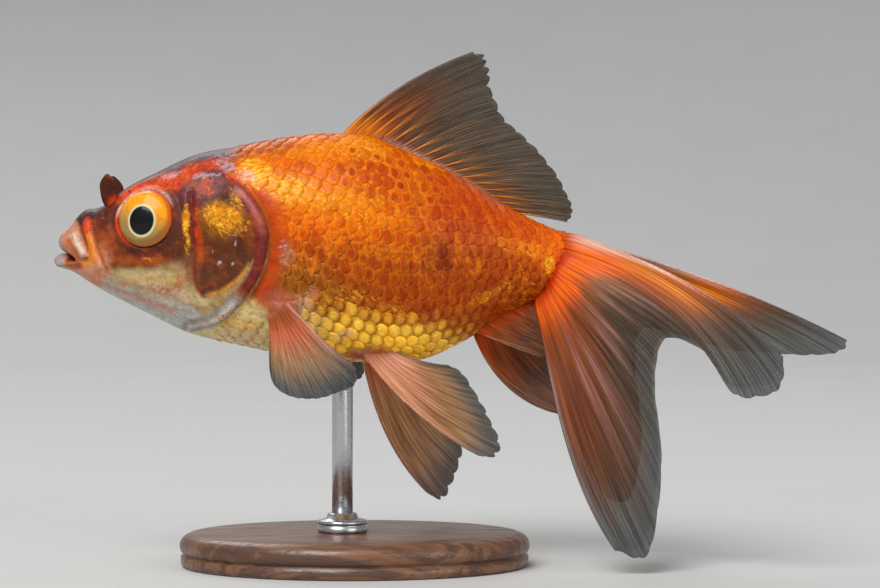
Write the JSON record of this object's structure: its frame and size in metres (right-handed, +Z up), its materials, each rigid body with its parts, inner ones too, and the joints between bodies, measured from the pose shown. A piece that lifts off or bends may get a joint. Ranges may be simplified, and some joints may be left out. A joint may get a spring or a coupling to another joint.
{
  "type": "fancy goldfish display model",
  "caption": "Life-size still model of a young fantail goldfish swimming level, with paired tail and anal fins, held by a steel rod on an oval wooden base.",
  "frame": {"origin": "centre of the stand base's flat underside, on the floor", "axes": "+X along the fish towards its tail, so it swims towards -X; +Y to the fish's right; +Z up"},
  "size_m": [0.0963, 0.034, 0.0619],
  "materials": {
    "skin": "satin",
    "throat": "satin",
    "gill_cover": "gloss",
    "nose_flap": "satin",
    "fin": "satin",
    "eye": "polished",
    "walnut": "satin",
    "steel": "satin"
  },
  "bodies": {
    "root": {"anal_fin_left": "fin", "anal_fin_right": "fin", "dorsal_fin": "fin", "eye_left": "eye", "eye_right": "eye", "gill_cover_left": "gill_cover", "gill_cover_right": "gill_cover", "head": "skin", "lower_jaw": "throat", "nose_flap_left": "nose_flap", "nose_flap_right": "nose_flap", "pectoral_fin_left": "fin", "pectoral_fin_right": "fin", "pelvic_fin_left": "fin", "pelvic_fin_right": "fin", "stand_base": "walnut", "stand_collar": "steel", "stand_rod": "steel", "tail_lower_left": "fin", "tail_lower_right": "fin", "tail_stalk": "skin", "tail_upper_left": "fin", "tail_upper_right": "fin", "trunk": "skin"}
  },
  "joints": []
}
